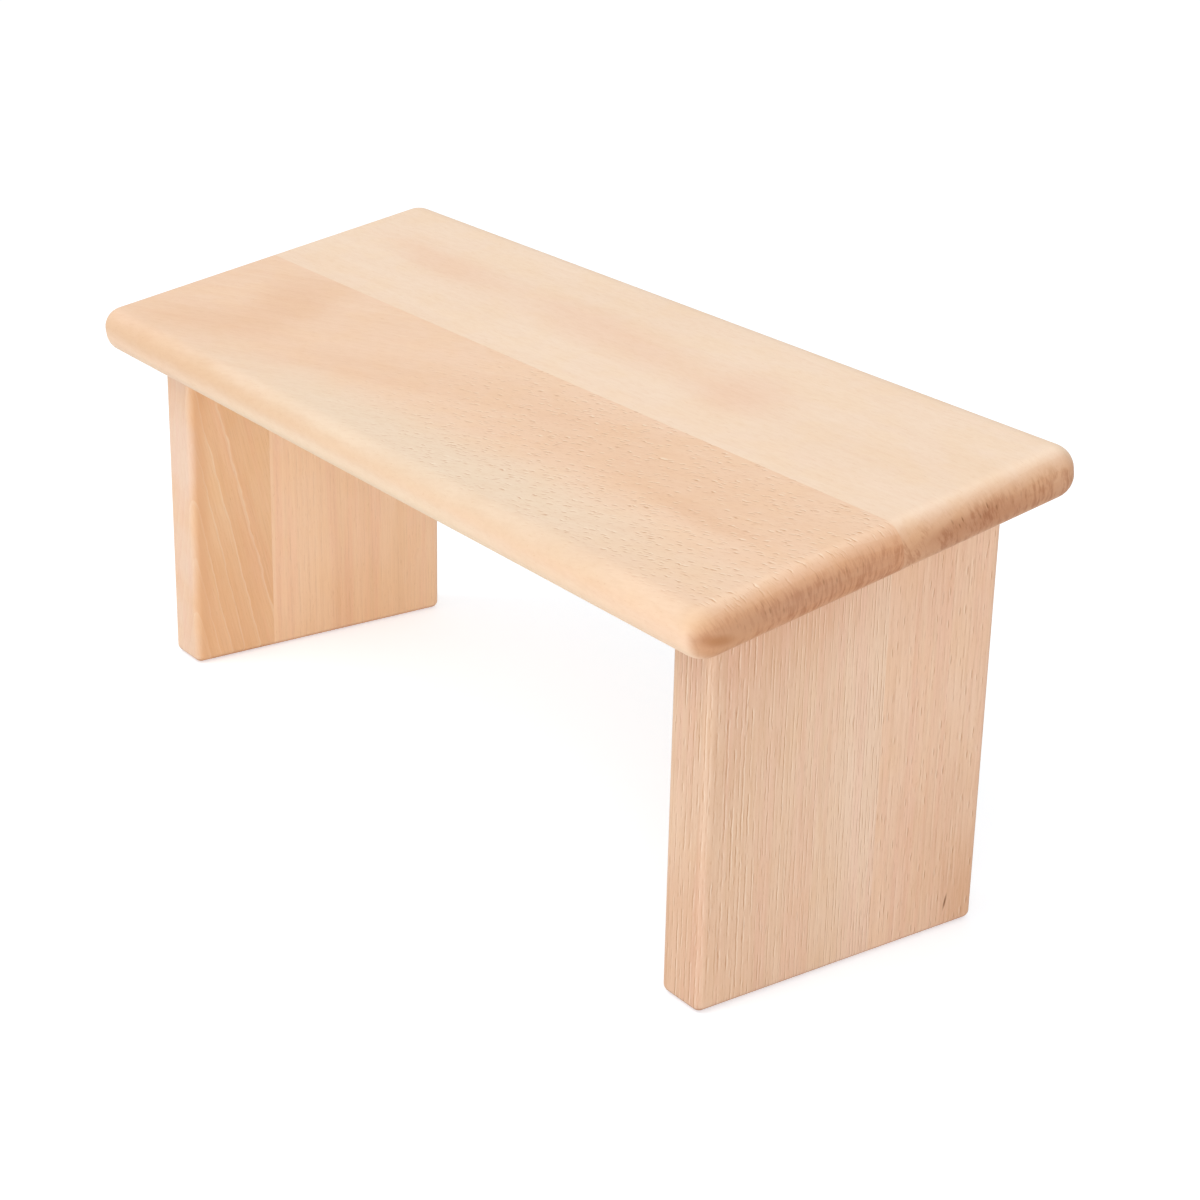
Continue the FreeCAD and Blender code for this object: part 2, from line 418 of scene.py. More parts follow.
def growth_rings(tree, radius, width, line):
    """(late, pale): how far the year has darkened at this radius, and the pale line that starts it."""
    years = maths(tree, "DIVIDE", radius, width)
    season = maths(tree, "FRACT", years)
    year = maths(tree, "FLOOR", years)
    climb = soft_step(tree, season, *SUMMER)
    winter = soft_step(tree, season, *WINTER)
    late = times(tree, climb, winter, 1.0 - SHARE_BY_CHANCE)
    late = maths(tree, "MULTIPLY_ADD", by_chance(tree, year), SHARE_BY_CHANCE, late)
    return late, soft_step(tree, season, line, 0.0)


print("a tree that grows 3 mm a year has", round(79.5 / 3.0), "rings across one stave of the seat")

# %% The ground colour
MORE_RINGS_ON_ENDS = 0.25
DRIFT_WAVES = (0.03, 0.03, 0.008)
DRIFT_STEPS = (0.35, 0.75)
MOTTLE_WAVES = (0.05, 0.08, 0.05)
MOTTLE_STEPS = (0.40, 0.65)
MOTTLE_TINT = (1.0, 0.988, 0.955, 1.0)


def ground(tree, lie, end, log, look):
    """The colour of the rings, drifting through the log and mottled over the board."""
    late, pale = growth_rings(tree, lie.radius, log["ring"], look["line"])
    ring_share = maths(tree, "MULTIPLY_ADD", end, MORE_RINGS_ON_ENDS, look["ring_share"])
    colour = blend(tree, times(tree, late, ring_share), look["early"], look["late"])
    colour = blend(tree, times(tree, pale, look["pale_share"]), colour, look["rim"])
    drift = clouds(tree, lie.wood, DRIFT_WAVES, DRIFT_STEPS, log["seed"] + 11.0, detail=3.0)
    mottle = clouds(tree, lie.face, MOTTLE_WAVES, MOTTLE_STEPS, log["seed"] + 43.0, detail=3.0)
    return glaze(tree, mottle, glaze(tree, drift, colour, look["drift"]), MOTTLE_TINT)


# %% [markdown]
# ### Patches of colour
#
# Under the grain a board has slow clouds of colour, pinker where the sap ran and creamier elsewhere.
# Noise would put them just anywhere, so they are listed one by one: each is a soft ellipse with its middle,
# half sizes and turn in millimetres and degrees on the board, a tint, and the share of it in the middle.
# Clouds lie on the ragged place, which noise has pushed about, so their rims are ragged. Sharper marks
# lie on the true one.

# %% Soft patches on a board
# Patches also carry painted shade, as at the top of the right leg under the seat.
Patch = namedtuple("Patch", "middle half turn tint share")


def inside_of(tree, place, middle, half, turn=NO_TURN):
    """1 in the middle of a soft ellipse and 0 outside it: a fade with the distance in half sizes."""
    distance = vector_maths(tree, "LENGTH", measured(tree, place, middle, turn, half))
    return soft_step(tree, distance, 1.0, 0.1)


def lay(tree, colour, place, patches):
    """The colour with patches laid on it, one after the other."""
    for each in patches:
        inside = inside_of(tree, place, each.middle, each.half, each.turn)
        colour = blend(tree, times(tree, inside, each.share), colour, each.tint)
    return colour


# %% [markdown]
# ### Fibres
#
# The fibres are fine threads that run along the trunk. Among them are wider streaks and faint pink bands,
# some centimetres long, and dark pores a few tenths of a millimetre wide. All four are noise, each with
# its own stretch. They are glazes, so they darken the colour under them.

# %% Draw the fibres
STREAK_STEPS = (0.40, 0.70)
BLUSH_SIZE = (0.17, 0.17, 0.008)
BLUSH_STEPS = (0.46, 0.66)
PORE_SIZE = (2.2, 2.2, 0.3)
PORE_STEPS = (0.62, 0.80)


def fibres(tree, colour, lie, seed, look):
    """(colour, fibre, pores): the colour with fibres on it, and two patterns that the relief needs too."""
    fibre = noise(tree, lie.wood, look["fibre_size"], seed + 17.0, roughness=0.6)
    threads = soft_step(tree, fibre, *look["fibre_steps"])
    streaks = clouds(tree, lie.wood, look["streak_size"], STREAK_STEPS, seed + 29.0)
    blush = clouds(tree, lie.wood, BLUSH_SIZE, BLUSH_STEPS, seed + 47.0)
    pores = clouds(tree, lie.wood, PORE_SIZE, PORE_STEPS, seed + 23.0, detail=1.0)
    for layer, tint in ((threads, "fibre"), (streaks, "streak"), (blush, "blush"), (pores, "pore")):
        colour = glaze(tree, layer, colour, look[tint])
    return colour, fibre, pores


# %% [markdown]
# ### Rays
#
# What makes beech look like beech is its rays: thin sheets of cells that run out from the pith like
# spokes. Each is a tall, narrow leaf, 1 to 4 mm high along the trunk, half a millimetre thick at most,
# and a centimetre or so long outwards. Cut across, as on a flat-sawn face, they are short dark dashes. A
# Voronoi texture scatters their middles, one in each cell of space. The offset from the nearest middle,
# measured in half sizes of a ray, has a length below 1 inside the ray. A ray stands a little proud or
# sunk after sanding, and light catches one side of it. That is painted as a pale rim on one side of each
# dash, a painted highlight: the same shape moved over by a little more than its own half width.

# %% Rays
RAY_HIGHLIGHT_SHIFT = (1.4, 0.0, 0.0)
FLECK_STEPS = (1.0, 0.35)


def ray_flecks(tree, lie, across, cell, half, kept):
    """(dash, rim) for rays, the rim a painted highlight. Sizes of a cell and half sizes of a ray go across,
    outwards and along.
    """
    values = (across, lie.true_radius, lie.along)
    shares = [maths(tree, "DIVIDE", value, size) for value, size in zip(values, cell)]
    place = vector_of(tree, *shares)
    cells = add(tree, "TexVoronoi", {"Vector": place, "Scale": 1.0, "Randomness": 1.0}, feature="F1")
    offset = vector_maths(tree, "SUBTRACT", place, cells.outputs["Position"])
    half_sizes = tuple(whole / part for whole, part in zip(cell, half))
    offset = vector_maths(tree, "MULTIPLY", offset, half_sizes)
    inside = soft_step(tree, vector_maths(tree, "LENGTH", offset), *FLECK_STEPS)
    moved = vector_maths(tree, "ADD", offset, RAY_HIGHLIGHT_SHIFT)
    beside = soft_step(tree, vector_maths(tree, "LENGTH", moved), *FLECK_STEPS)
    chance = add(tree, "SeparateColor", {"Color": cells.outputs["Color"]}).outputs[0]
    strength = soft_step(tree, chance, 1.0 - kept, 1.5 - kept)
    outside = maths(tree, "SUBTRACT", 1.0, inside)
    rim = times(tree, strength, outside, beside)
    return times(tree, inside, strength), rim


print("a cell of 1.35 by 4 mm puts", round(100.0 / (1.35 * 4.0)), "dashes on a square centimetre")

# %% [markdown]
# ### Fine lines
#
# On an upright face the rays and the vessels between them run together into fine lines. Each has a pale
# neighbour on one side, a painted highlight of the light catching the sanded relief. They are roughly
# evenly spaced, but no two are equally strong, and every line is broken into dashes of its own. So the
# trunk is cut into thin slices by angle, and each slice gets one line at a random place in it. The
# slice's number picks the line's strength, and the stretch of noise that breaks it up.

# %% Fine lines
SLICE_SHIFT = 3.7
SECOND_DRAW = 0.37
FIRST_PLACE = 0.2
SPAN_OF_PLACES = 0.56
LINE_HALF = (0.14, 0.03)
BESIDE_HALF = (0.18, 0.04)
BESIDE_SHIFT = 0.23
BESIDE_SHARE = 0.4
DASH_SIZE = (1.0, 0.05, 0.15)
DASH_STEPS = (0.38, 0.62)
STRENGTH_BY_CHANCE = 0.75
LEAST_STRENGTH = 0.35


def fine_lines(tree, lie, pitch):
    """(dark, light): thin lines along the trunk, each with a painted highlight, one in each slice of that
    width, broken into dashes.
    """
    slices = maths(tree, "DIVIDE", lie.across, pitch)
    number = maths(tree, "FLOOR", slices)
    middle = maths(tree, "MULTIPLY_ADD", by_chance(tree, number), SPAN_OF_PLACES, FIRST_PLACE)
    offset = maths(tree, "SUBTRACT", maths(tree, "FRACT", slices), middle)
    dark = soft_step(tree, maths(tree, "ABSOLUTE", offset), *LINE_HALF)
    beside = maths(tree, "ABSOLUTE", maths(tree, "SUBTRACT", offset, BESIDE_SHIFT))
    light = times(tree, soft_step(tree, beside, *BESIDE_HALF), BESIDE_SHARE)
    place = vector_of(tree, times(tree, number, SLICE_SHIFT), lie.true_radius, lie.along)
    second = by_chance(tree, maths(tree, "ADD", number, SECOND_DRAW))
    strength = maths(tree, "MULTIPLY_ADD", second, STRENGTH_BY_CHANCE, LEAST_STRENGTH)
    broken = times(tree, clouds(tree, place, DASH_SIZE, DASH_STEPS, 13.0), strength)
    return times(tree, dark, broken), times(tree, light, broken)


print("a pitch of 1.6 mm puts about", round(120.0 / 1.6), "fine lines across a leg")

# %% [markdown]
# ### Rays where they show
#
# How well rays show depends on how the board was sawn: on one stave they start halfway along, and on a
# pale front edge they fade. So a log may say where they start, along the board and up it. End grain hides
# them, because there they are drawn in another way. Dashes of two sizes and the fine lines then go on,
# each with a share of its own.

# %% Draw rays and lines
HIDDEN_ON_END_GRAIN = 0.85
SMALL_CELL = (1.0, 6.0, 2.8)
SMALL_HALF = (0.18, 3.0, 1.1)
SMALL_KEPT = 0.9


def where_rays_show(tree, lie, end, log):
    """1 where the rays show, and 0 on end grain and short of the places that the log names."""
    shown = maths(tree, "MULTIPLY_ADD", end, -HIDDEN_ON_END_GRAIN, 1.0)
    if "ray_start" in log:
        shown = times(tree, shown, soft_step(tree, parts(tree, lie.ragged)[0], *log["ray_start"]))
    if "ray_edge" in log:
        shown = times(tree, shown, soft_step(tree, parts(tree, lie.face)[1], *log["ray_edge"]))
    return shown


def rays(tree, colour, lie, end, log, look):
    """(colour, dash, line): the colour with rays on it, and the dashes and dark lines for the relief."""
    shown = where_rays_show(tree, lie, end, log)
    dash, rim = ray_flecks(tree, lie, lie.across, log["ray_cell"], log["ray_half"], log["rays_kept"])
    small = ray_flecks(tree, lie, lie.across, SMALL_CELL, SMALL_HALF, SMALL_KEPT)[0]
    line, beside = fine_lines(tree, lie, log["pitch"])
    layers = (
        (dash, "ray_share", "ray"),
        # Painted highlight: the lit rim on one side of each ray dash.
        (rim, "ray_highlight_share", "rim"),
        (small, "small_share", "ray"),
        (line, "line_share", "ray"),
        # Painted highlight: the pale neighbour on one side of each fine line.
        (beside, "line_share", "rim"),
    )
    for layer, share, tint in layers:
        colour = blend(tree, times(tree, layer, shown, look[share]), colour, look[tint])
    return colour, times(tree, dash, shown), times(tree, line, shown)


# %% [markdown]
# ### End grain
#
# The open ends of the fibres drink more oil, so end grain is darker and warmer. Towards the underside of
# a board it is darker still: painted shade, where the round end turns away from the light. The rays come
# out of it as short strokes that all point away from the pith. Noise that is stretched outwards gives
# the strokes, and a second, slower noise leaves gaps between groups of them.
# Where the saw has torn the grain a little, short dark specks lie close together, so they are listed one
# by one like the patches.

# %% Draw the end grain
END_GRAIN_TINT = (0.735, 0.56, 0.44, 1.0)
END_GRAIN_PAINTED_SHADE = (0.88, 0.84, 0.84, 1.0)
END_GRAIN_SPOKE = (0.80, 0.70, 0.64, 1.0)
END_GRAIN_SPECK = paint(132, 88, 54)
GROUP_WAVES = (0.09, 0.09, 0.12)
PAINTED_SHADE_HEIGHTS = (15.0, 5.0)
SPECK_CELL = (2.1, 4.2, 9.0)
SPECK_HALF = (0.42, 1.5, 6.0)
SPECKS_KEPT = 0.75
Specks = namedtuple("Specks", "middle half share")


def end_grain(tree, colour, lie, end, seed, look):
    """The colour, darker and warmer where fibres end, with strokes on it that fade between two heights."""
    outwards = vector_of(tree, lie.spoke, lie.true_radius, lie.along)
    strokes = clouds(tree, outwards, look["spoke_size"], look["spoke_steps"], seed + 37.0, 3.0, 0.6)
    groups = clouds(tree, lie.face, GROUP_WAVES, look["spoke_gaps"], seed + 41.0)
    height = parts(tree, lie.face)[2]
    strokes = times(tree, strokes, groups, soft_step(tree, height, *look["spoke_fade"]))
    # Painted shade: end grain darker towards the underside of the board.
    shaded_low = soft_step(tree, height, *PAINTED_SHADE_HEIGHTS)
    colour = glaze(tree, end, colour, END_GRAIN_TINT)
    colour = glaze(tree, times(tree, shaded_low, end), colour, END_GRAIN_PAINTED_SHADE)
    return glaze(tree, times(tree, strokes, end), colour, END_GRAIN_SPOKE)


def end_specks(tree, colour, lie, end, specks):
    """The colour with short dark specks on the end grain, thickest in the middle of each soft ellipse."""
    for each in specks:
        short = ray_flecks(tree, lie, lie.spoke, SPECK_CELL, SPECK_HALF, SPECKS_KEPT)[0]
        inside = times(tree, inside_of(tree, lie.face, each.middle, each.half), end)
        strength = times(tree, inside, each.share, short)
        colour = blend(tree, strength, colour, END_GRAIN_SPECK)
    return colour


# %% [markdown]
# ### The finish
#
# The bench is sanded and thinly oiled, so it shines only a little, and still less on end grain. Sanding
# leaves the hard rays some hundredths of a millimetre below the fibres. A Bump node turns that relief
# into a slight change of the light, and the mesh itself stays smooth. The roughness follows the same
# patterns.

# %% Sand and oil it
RELIEF_HEIGHT = 0.00008
RELIEF_STRENGTH = 0.55
RAISED_BY = {"fibre": 0.5, "dash": -0.6, "line": -0.3, "pores": -0.3}
DULLED_BY = {"fibre": 0.16, "dash": -0.08, "end": 0.08}
OILED_GLOSS = 0.26


def weighted(tree, start, layers, weights):
    """The start, plus each layer that has a weight, times that weight."""
    for name, weight in weights.items():
        start = maths(tree, "MULTIPLY_ADD", layers[name], weight, start)
    return start


def coat(tree, colour, rough, bump, others):
    """The end of a tree: one shader with these inputs and a few others, as the surface."""
    wires = {"Base Color": colour, "Roughness": rough, "Normal": bump.outputs[0], **others}
    shader = add(tree, "BsdfPrincipled", wires)
    add(tree, "OutputMaterial", {"Surface": shader.outputs[0]})


def sanded(tree, colour, layers, rough):
    """The shader of oiled wood. The layers, by name, raise or sink it and make it duller or glossier."""
    relief = weighted(tree, 0.0, layers, RAISED_BY)
    bump = add(tree, "Bump", {"Height": relief, "Strength": RELIEF_STRENGTH, "Distance": RELIEF_HEIGHT})
    rough = weighted(tree, rough, layers, DULLED_BY)
    coat(tree, colour, rough, bump, {"Specular IOR Level": OILED_GLOSS})


# %% [markdown]
# ### The whole wood
#
# Now the layers go on top of each other, from the broadest to the finest: ground, clouds, fibres, rays, a
# painted highlight on the corners, end grain, marks and specks. The order matters, because each layer
# covers a share of what lies under it.

# %% Put the layers together


def beech(name, log, look, patches=(), marks=(), specks=(), board=(NO_TURN, NO_TURN)):
    """Solid beech. The log says how the stave was sawn, the look its colours. The rest is listed."""
    material, tree = empty_material(name)
    seed = log["seed"]
    lie = lie_of(tree, log, board)
    end, edge = open_ends(tree, log["grain"])
    colour = ground(tree, lie, end, log, look)
    colour = lay(tree, colour, lie.ragged, patches)
    colour, fibre, pores = fibres(tree, colour, lie, seed, look)
    colour, dash, line = rays(tree, colour, lie, end, log, look)
    # Painted highlight: corners between two upright faces are made paler with the rim colour.
    colour = blend(tree, times(tree, edge, look["corner_highlight_share"]), colour, look["rim"])
    colour = end_grain(tree, colour, lie, end, seed, look)
    colour = lay(tree, colour, lie.face, marks)
    colour = end_specks(tree, colour, lie, end, specks)
    layers = {"fibre": fibre, "pores": pores, "dash": dash, "line": line, "end": end}
    sanded(tree, colour, layers, look["rough"])
    print(name, "is made of", len(tree.nodes), "nodes")
    return material


# %% [markdown]
# ## The staves as surfaces
#
# A rounded board is what a ball leaves when it rolls all round a thinner plate. So its surface needs two
# things only. The path is the rim of that inner plate, with the direction that points straight out of it.
# The profile is a half circle split by the flat of the edge. Each point is the point of the path, plus
# the radius times the sine of the profile's angle outwards, and its cosine up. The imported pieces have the
# same shape in long flat facets, which show as creases on the soft round of the edge, so finer surfaces
# replace them.

# %% A path round half a board


def path_round(start, corners, end, turns, corner_radius, steps=10, run=9):
    """Points and outward directions along the rim of the inner plate, from glue line to glue line.

    Turns are the angles that the outward direction has on each straight run. About a corner's centre the
    direction turns evenly from one to the next, and the point stays a corner radius away from the centre.
    """
    centres = np.array(corners)
    angles = np.radians(turns)
    sweep = np.linspace(0.0, 1.0, steps)[None, :]
    swung = angles[:-1, None] + (angles[1:] - angles[:-1])[:, None] * sweep
    arcs = centres[:, None, :] + corner_radius * np.stack([np.cos(swung), np.sin(swung)], axis=2)
    share = np.linspace(0.0, 1.0, run)[:, None]
    first = np.array(start) + share * (arcs[0, 0] - np.array(start))
    middle = arcs[0, -1] + share * (arcs[1, 0] - arcs[0, -1])
    last = arcs[1, -1] + share * (np.array(end) - arcs[1, -1])
    points = np.concatenate([first[:-1], arcs[0], middle[1:-1], arcs[1], last[1:]])
    before, between, after = (np.full(run - each, angle) for each, angle in zip((1, 2, 1), angles))
    facing = np.concatenate([before, swung[0], between, swung[1], after])
    return points, np.stack([np.cos(facing), np.sin(facing)], axis=1)


# %% The board's surface from path and profile
FLAT_SHARE = 0.94
TO_GLUE = (1.0, 0.5, 0.015)


def board_points(points, outward, radius, half_flat, steps=12):
    """A grid of points (path, profile) in the board's own plan and height, height 0 in its middle plane.

    Along the profile: from the glue line across the top, down the round, over the flat of the edge, and
    back under. On the flats a point is mixed from the rim and the glue line, at one share of both.
    """
    lengths = np.concatenate([[0.0], np.cumsum(np.linalg.norm(np.diff(points, axis=0), axis=1))])
    share = (lengths / lengths[-1])[:, None]
    glue = points[:1] + share * (points[-1:] - points[:1])
    angle = np.linspace(0.0, math.pi / 2, steps)
    out = np.concatenate([[0.0] * 3, np.sin(angle), [1.0] * 2, np.cos(angle), [0.0] * 3]) * radius
    inner = half_flat * FLAT_SHARE
    rise = half_flat + radius * np.cos(angle)
    upper = np.concatenate([[half_flat + radius] * 3, rise, [inner]])
    height = np.concatenate([upper, -upper[::-1]])
    to_glue = np.concatenate([TO_GLUE, np.zeros(2 * steps + 2), TO_GLUE[::-1]])
    mixed = points[:, None, :] + to_glue[None, :, None] * (glue - points)[:, None, :]
    plan = mixed + outward[:, None, :] * out[None, :, None]
    return np.concatenate([plan, np.broadcast_to(height[None, :, None], plan.shape[:2] + (1,))], axis=2)


# %% From a grid of points to a stave
CREASE_ANGLE = math.radians(30.0)


def stave(name, grid, origin, axes, body, material):
    """A closed mesh: quads between neighbours of the grid, and one face on the glue line."""
    rows, columns = grid.shape[:2]
    places = (np.array(origin) + grid.reshape(-1, 3) @ np.array(axes)) * MILLIMETRE
    index = np.arange(rows * columns).reshape(rows, columns)
    corners = [index[:-1, :-1], index[1:, :-1], index[1:, 1:], index[:-1, 1:]]
    quads = np.stack(corners, axis=-1).reshape(-1, 4)
    round_glue = np.concatenate([index[0], index[1:, -1], index[-1, -2::-1], index[-2:0:-1, 0]])
    a, b, c, d = (places[quads[:, corner]] for corner in range(4))
    volume = np.sum(np.cross(a, b) * c + np.cross(a, c) * d) / 6.0
    fan = places[round_glue]
    volume += np.sum(np.cross(fan, np.roll(fan, -1, axis=0)) * fan.mean(axis=0)) / 6.0
    faces = quads.tolist() + [round_glue.tolist()]
    if volume < 0:
        faces = [face[::-1] for face in faces]

    mesh = bpy.data.meshes.new(name)
    mesh.from_pydata(places.tolist(), [], faces)
    soft = bmesh.new()
    soft.from_mesh(mesh)
    bmesh.ops.remove_doubles(soft, verts=soft.verts, dist=0.01 * MILLIMETRE)
    bmesh.ops.dissolve_degenerate(soft, edges=soft.edges, dist=0.001 * MILLIMETRE)
    open_edges = sum(not edge.is_manifold for edge in soft.edges)
    soft.to_mesh(mesh)
    soft.free()
    mesh.shade_smooth()
    mesh.set_sharp_from_angle(angle=CREASE_ANGLE)
    mesh.materials.append(material)

    piece = bpy.data.objects.new(name + "_rounded", mesh)
    scene.collection.objects.link(piece)
    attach(piece, body)
    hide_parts(name)
    litres = abs(volume) * 1000
    print(piece.name, len(mesh.polygons), "faces,", round(litres, 4), "litres,", open_edges, "open edges")
    return piece


# %% [markdown]
# ### Six logs
#
# Every stave has its own log. Its pith is a point in metres on the middle line of the trunk, and its turn
# lays that line. The seat's front stave was sawn flat: its pith lies well below the board, so rays meet
# the top as dashes. The back stave has hardly any. The legs' grain stands upright, and the front stave of
# the left leg comes from near the pith of a leaning trunk, which draws slanting flames on it.
#
# The other sizes are in millimetres. Ring is the width of a year, and wander and jagged are the slow and
# the quick error of the rings. Depth is the radius at which places round the pith are measured. Swerve
# and wavy are the slow and the quick error of the rays, and pitch is the space between fine lines. A cell
# holds one ray at most, and rays kept is the share of cells that show theirs. The seed alone has no
# meaning: it makes one log's noise differ from another's.

# %% Places and turns on the seat
SLOPE_DEGREES = 9.8
SEAT_SLOPE = math.radians(SLOPE_DEGREES)
SEAT_HALF_LENGTH = 200.0
SEAT_HALF_WIDTH = 79.5
SEAT_HALF_THICK = 9.0
SEAT_MIDDLE_Y = 1.532
UNDERSIDE_Z = 143.5


def on_seat(x, v, h):
    """A place on the seat in metres: x along it, v up its slope from the middle, h off its underside."""
    y = SEAT_MIDDLE_Y + v * math.cos(SEAT_SLOPE) - h * math.sin(SEAT_SLOPE)
    z = UNDERSIDE_Z + v * math.sin(SEAT_SLOPE) + h * math.cos(SEAT_SLOPE)
    return tuple(value * MILLIMETRE for value in (x, y, z))


def grain_over_the_seat(angle):
    """The turn of a log in the plane of the seat, with its pith at that angle to the seat's length."""
    up = math.sin(math.radians(angle))
    lean = math.degrees(math.acos(up * math.sin(SEAT_SLOPE)))
    swing = math.degrees(math.atan2(up * math.cos(SEAT_SLOPE), math.cos(math.radians(angle))))
    return (0.0, lean, swing)


SEAT_BOARD = (on_seat(0.0, 0.0, 0.0), (SLOPE_DEGREES, 0.0, 0.0))
print("the middle of the seat's underside is", [round(1000 * value, 1) for value in SEAT_BOARD[0]], "mm")

# %% Where patches go on the seat


def on_top(x, v, half_x, half_v, tint, share, turn=0.0):
    """A patch on the top of the seat. It goes right through the board."""
    return Patch((x, v, 0.0), (half_x, half_v, 400.0), (0.0, 0.0, turn), tint, share)


def on_the_edge(h, half_v, half_h, tint, share, x=0.0, half_x=320.0):
    """A band along the front edge of the seat, its middle h above the underside."""
    return Patch((x, -79.0, h), (half_x, half_v, half_h), NO_TURN, tint, share)


def on_the_end(v, h, half_v, half_h, tint, share, turn=0.0, x=SEAT_HALF_LENGTH):
    """A patch on the right end of the seat."""
    return Patch((x, v, h), (10.0, half_v, half_h), (turn, 0.0, 0.0), tint, share)


PINK = paint(243, 204, 176)
TAN = paint(235, 193, 158)
CREAM = paint(247, 224, 194)
STRAW = paint(234, 197, 161)
WHEAT = paint(222, 183, 144)
OAT = paint(240, 224, 201)
HUSK = paint(214, 190, 160)
COCOA = paint(176, 134, 108)
BROWN = paint(204, 154, 116)
UMBER = paint(176, 121, 80)

# %% [markdown]
# ### The looks
#
# A look holds the colours of a wood and the share of each layer. The seat's is pale and smooth, with rays
# that show well. A stave that differs from it in a few things copies the look and changes only those.
# Steps, gaps and the fade of the strokes are pairs, from where a layer starts to where it is full. Sizes
# are the stretch of a noise, in waves in a millimetre.

# %% The look of the seat, and what its two logs share
SEAT_LOG = {"grain": (1.0, 0.0, 0.0), "jagged": 0.2, "swerve": 1.2, "pitch": 2.0}

look = {
    "early": paint(246, 214, 187),
    "late": paint(236, 198, 165),
    "ring_share": 0.12,
    "line": 0.2,
    "pale_share": 0.03,
    "drift": (0.98, 0.96, 0.94, 1.0),
    "fibre": (0.975, 0.96, 0.945, 1.0),
    "fibre_size": (0.8, 0.8, 0.18),
    "fibre_steps": (0.35, 0.75),
    "streak": (0.99, 0.98, 0.97, 1.0),
    "streak_size": (0.28, 0.28, 0.012),
    "blush": (1.0, 0.993, 0.993, 1.0),
    "pore": (0.95, 0.91, 0.86, 1.0),
    "ray": paint(204, 152, 108),
    "ray_share": 0.66,
    "rim": paint(255, 240, 220),
    "ray_highlight_share": 0.5,
    "small_share": 0.28,
    "line_share": 0.0,
    "corner_highlight_share": 0.0,
    "spoke_size": (0.75, 0.17, 0.2),
    "spoke_steps": (0.44, 0.66),
    "spoke_gaps": (0.28, 0.50),
    "spoke_fade": (17.0, 11.0),
    "rough": 0.5,
}

# %% The wood of the seat's front stave
seat_front = beech(
    "beech_seat_front",
    {
        **SEAT_LOG,
        "seed": 2.0,
        "pith": on_seat(0.0, -95.0, -220.0),
        "turn": grain_over_the_seat(17.0),
        "depth": 240.0,
        "ring": 2.9,
        "wander": 2.4,
        "wavy": 1.1,
        "ray_cell": (1.35, 9.0, 4.0),
        "ray_half": (0.31, 5.0, 1.95),
        "rays_kept": 0.85,
        "ray_start": (-80.0, 60.0),
        "ray_edge": (-77.0, -68.0),
    },
    {
        **look,
        "spoke_size": (1.0, 0.17, 0.2),
        "spoke_steps": (0.44, 0.64),
        "spoke_gaps": (0.22, 0.44),
    },
    patches=(
        on_top(-137.0, -22.0, 34.0, 40.0, TAN, 0.55, turn=20.0),
        on_top(-150.0, -58.0, 62.0, 24.0, TAN, 0.5, turn=12.0),
        on_top(-20.0, -28.0, 120.0, 18.0, TAN, 0.25, turn=14.0),
        on_top(110.0, -24.0, 120.0, 28.0, TAN, 0.35),
        on_top(145.0, -34.0, 66.0, 8.0, TAN, 0.45),
        on_top(30.0, -67.0, 230.0, 29.0, OAT, 0.65, turn=2.0),
        on_the_edge(12.5, 7.0, 5.5, STRAW, 0.5),
        on_the_edge(14.0, 8.0, 8.0, WHEAT, 0.5, x=-150.0, half_x=200.0),
        on_the_edge(16.5, 10.0, 6.0, HUSK, 0.3, x=100.0, half_x=300.0),
        # Partly paler wood on the front edge, partly painted light: the lower round, which faces down, made
        # paler as if lit from below.
        on_the_edge(4.0, 6.0, 7.0, CREAM, 0.7),
    ),
    marks=(
        on_the_end(-68.0, 7.0, 22.0, 9.0, BROWN, 0.8),
        on_the_end(-77.0, 15.0, 11.0, 6.0, WHEAT, 0.45, x=196.0),
        on_the_end(-43.0, 9.6, 60.0, 6.0, COCOA, 0.4),
        on_the_end(-71.0, 7.8, 9.5, 3.0, UMBER, 0.8, turn=-18.0),
    ),
    specks=(Specks((200.0, -38.0, 10.0), (20.0, 42.0, 7.0), 0.55),),
    board=SEAT_BOARD,
)

# %% The wood of the seat's back stave
seat_back = beech(
    "beech_seat_back",
    {
        **SEAT_LOG,
        "seed": 31.0,
        "pith": on_seat(0.0, 60.0, -120.0),
        "turn": grain_over_the_seat(1.5),
        "depth": 138.0,
        "ring": 3.4,
        "wander": 1.4,
        "wavy": 0.3,
        "ray_cell": (2.2, 12.0, 6.0),
        "ray_half": (0.18, 6.0, 1.0),
        "rays_kept": 0.25,
        "ray_start": (40.0, 190.0),
    },
    {
        **look,
        "early": paint(249, 225, 202),
        "late": paint(243, 213, 186),
        "small_share": 0.08,
    },
    patches=(
        on_top(-125.0, 42.0, 70.0, 15.0, PINK, 0.5, turn=-4.0),
        on_top(0.0, 38.0, 100.0, 19.0, PINK, 0.5, turn=-3.0),
        on_top(80.0, 34.0, 38.0, 25.0, PINK, 0.55),
        on_the_end(40.0, 7.0, 44.0, 9.0, BROWN, 0.45, x=199.0),
        on_the_end(26.0, 9.5, 34.0, 4.5, UMBER, 0.25),
    ),
    specks=(Specks((200.0, 32.0, 11.0), (20.0, 26.0, 5.0), 0.8),),
    board=SEAT_BOARD,
)

# %% [markdown]
# ### The legs' wood
#
# The legs are sawn so that the fine lines stand upright on their broad faces. Their wood is a little
# darker and pinker than the seat's. All four staves start from the same look and the same rays, and
# differ in how near the pith they were. Low down they are warmer and darker. At the top of the right leg,
# under the seat, its staves are darkened by patches of painted shade.

